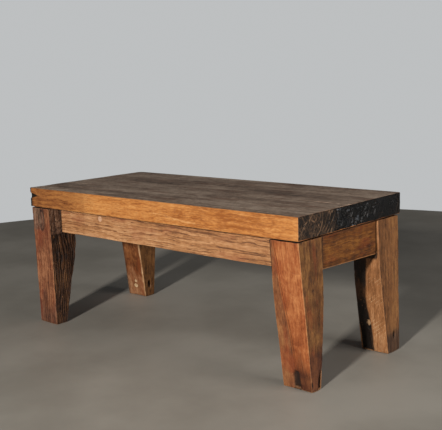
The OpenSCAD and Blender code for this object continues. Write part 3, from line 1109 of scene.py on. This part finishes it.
def shape_rail(node, axis, seed, sag, slant=0.0, edge_radius=(1.2, 2.0), marks=None):
    """A rail's points, faces and masks; axis is 0 for a long rail and 1 for an end rail. sag is how
    far its lower edge waves up from the straight line, and slant how far it rises to the front."""
    low, high = (np.array(corner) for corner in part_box(node))
    low[axis] += TENON_LENGTH + JOINT_GAP
    high[axis] -= TENON_LENGTH + JOINT_GAP
    steps = np.where(np.arange(3) == axis, RAIL_STEP, RAIL_CROSS_STEP)
    points, quads = block_skin(low, high, steps, RAIL_RIM)
    cell = np.full(3, 0.03)
    cell[axis] = 0.09
    wear = 0.5 + 0.5 * fine_hills(points, cell, seed)
    radius = (edge_radius[0] + edge_radius[1] * wear) * MM
    worn, away = worn_block(points, low, high, radius)
    cell[:] = 0.005
    cell[axis] = 0.09
    grain = furrows(points, cell, seed + 2, 3.0)
    relief = Relief(0.3 * MM * (1 + hills(points, cell * 8, seed + 1)))
    relief.cut(grain, 0.9 * MM)
    relief.cut(unit(grain * 2.2 - 1), 0.0, 0.35)
    from_seat = high[2] - points[:, 2]
    from_legs = np.minimum(points[:, axis] - low[axis], high[axis] - points[:, axis])
    # Along the seat and beside the legs the joint is sunk and painted dark as shade, and darkened
    # again as grime with painted shade.
    shaded_joint = (3.0 - from_seat / MM + 2.5 * hills(points, np.where(cell > 0.01, 0.015, 1), seed + 6))
    shaded_joint = unit(np.maximum(shaded_joint, (JOINT_SHADOW[axis] - from_legs) / MM) / 1.5)
    relief.cut(shaded_joint, 1.5 * MM, 0.85)
    relief.masks |= {
        "edge": unit(1 - edge_distance(points, low, high) / 0.004),
        "grime": unit(1 - np.minimum(from_seat, from_legs) / 0.009),
    }
    if marks:
        marks(points, away, low, high, relief)
    shaped = worn - away * relief.sunk[:, None]
    wave = 0.5 + 0.5 * fine_hills(points * (np.arange(3) == axis), (0.08, 0.08, 0.08), seed + 3)
    share = (high[2] - points[:, 2]) / (high[2] - low[2])
    to_front = (high[1] - points[:, 1]) / (high[1] - low[1])
    shaped[:, 2] += (sag * wave + slant * to_front) * share
    return shaped, quads, relief.masks


def front_rail_marks(p, away, low, high, relief):
    """Long dark cracks at random places in the front face, which is also paler."""
    front = facing(away, 1, -1)
    rng = np.random.default_rng(31)
    for k in range(RAIL_CRACKS):
        start = rng.uniform(low[0] - 0.05, high[0] - 0.05)
        height = rng.uniform(low[2] + 0.006, high[2] - 0.006)
        end = start + rng.uniform(0.07, 0.2)
        mark = crack(p[:, 0], p[:, 2], (start, height), (end, height + rng.uniform(-3, 3) * MM),
                     3.2 * MM, 1.5 * MM, 200 + k)
        relief.cut(mark * front, 1.6 * MM, 0.3)
    relief.masks["pale"] = front


def end_rail_marks(p, away, low, high, relief):
    """A slightly sawn lower outer edge, which deepens evenly over its last 12 mm."""
    outer = facing(away, 0, np.sign(low[0]))
    wane = unit(1 - (p[:, 2] - low[2]) / 0.012)
    relief.cut(outer * wane, 1.5 * MM)
    relief.masks["pale"] = unit(wane * 1.5) * outer * 0.2


print("the front rail has", RAIL_CRACKS, "long cracks")

# %% Finish the rails
RAILS = {
    "front_apron": {
        "shape": dict(axis=0, seed=300, sag=2.5 * MM, marks=front_rail_marks),
        "wood": dict(
            heart=(0.2, 0.10), lean=(0.02, 0.04), ring=0.009,
            colours="#5c3820 #94643e #b88a60", blush="#8e5238",
            shares={"line": 0.4, "streak": 0.4, "fleck": 0.25, "tone": 0.4},
            layers={
                "pale": "#6a452d #a7754c #c99b71"})},
    "rear_apron": {
        "shape": dict(axis=0, seed=320, sag=2.5 * MM),
        "wood": dict(
            heart=(0.5, 0.0), lean=(0.02, 0.03), ring=0.010,
            colours="#5c3820 #8c5c38 #b0805a")},
    "left_apron": {
        "shape": dict(axis=1, seed=340, sag=1.5 * MM, marks=end_rail_marks),
        "wood": dict(
            heart=(-0.2, 0.05), lean=(0.03, 0.03), ring=0.012,
            colours="#54290f #7c481f #a06c36",
            layers={
                "pale": "#6e4624 #966a3a #ae8450"})},
    "right_apron": {
        "shape": dict(axis=1, seed=360, sag=1.5 * MM, slant=7 * MM, marks=end_rail_marks),
        "wood": dict(
            heart=(0.75, 0.05), lean=(0.03, 0.04), ring=0.012,
            colours="#3e1f08 #6e3f15 #966228", blush="#742f14",
            shares={"blotch": 0.4, "blush": 0.45, "line": 0.12, "streak": 0.4},
            layers={
                "pale": "#6e4624 #966a3a #ae8450"})},
}

for node, recipe in RAILS.items():
    rail_wood = old_wood("wood_" + node, "XY"[recipe["shape"]["axis"]], **recipe["wood"])
    add_piece(node + "_rail", node, *shape_rail(node, **recipe["shape"]), "apron_wood", rail_wood)

# %% [markdown]
# ## The fittings
#
# Pegs, dowels, cleats, screws and the round plug already have their true shape in the design, so
# they stay as they are and only get a finish: pale turned hardwood, and zinc-plated steel.

# %% Finish the fittings
def hardwood(name, along, colours):
    """Plain turned or sawn hardwood with a faint figure."""
    shares = {"streak": 0.3, "line": 0.1, "fleck": 0.1, "tone": 0.2, "blush": 0.0}
    return old_wood(name, along, heart=(0.3, 0.2), lean=(0.02, 0.02), ring=0.004, colours=colours,
                    shares=shares, roughness=0.6, bump=0.3)


def zinc_steel():
    """Plated screws: bright metal with a faint cloudy bloom."""
    recipe = Recipe("zinc_steel")
    place = recipe.add("ShaderNodeTexCoord", {}, {}, "Object")
    bloom = recipe.noise(place, scale=700.0, detail=3.0)
    colour = recipe.mix(bloom, srgb("#8f8c84"), srgb("#c9c6bd"))
    return recipe.finish(Base_Color=colour, Metallic=1.0, Roughness=0.28 + bloom * 0.25)


FITTING_FINISHES = {
    "plug": hardwood("plug_wood", "Y", "#a07a5c #c9a184 #dcbca0"),
    "cleat": hardwood("cleat_wood", "X", "#8a5c34 #b48452 #cfa676"),
    "dowel": hardwood("dowel_wood", "Z", "#9a6c40 #c29664 #d8b386"),
    "peg": hardwood("peg_wood", "X", "#7c5230 #a87a4c #c49a6c"),
    "screw": zinc_steel(),
}

for word, finish in FITTING_FINISHES.items():
    fittings = [node for name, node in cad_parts.items() if word in name]
    for fitting in fittings:
        fitting.data.materials.clear()
        fitting.data.materials.append(finish)
    print(len(fittings), word, "nodes finished")
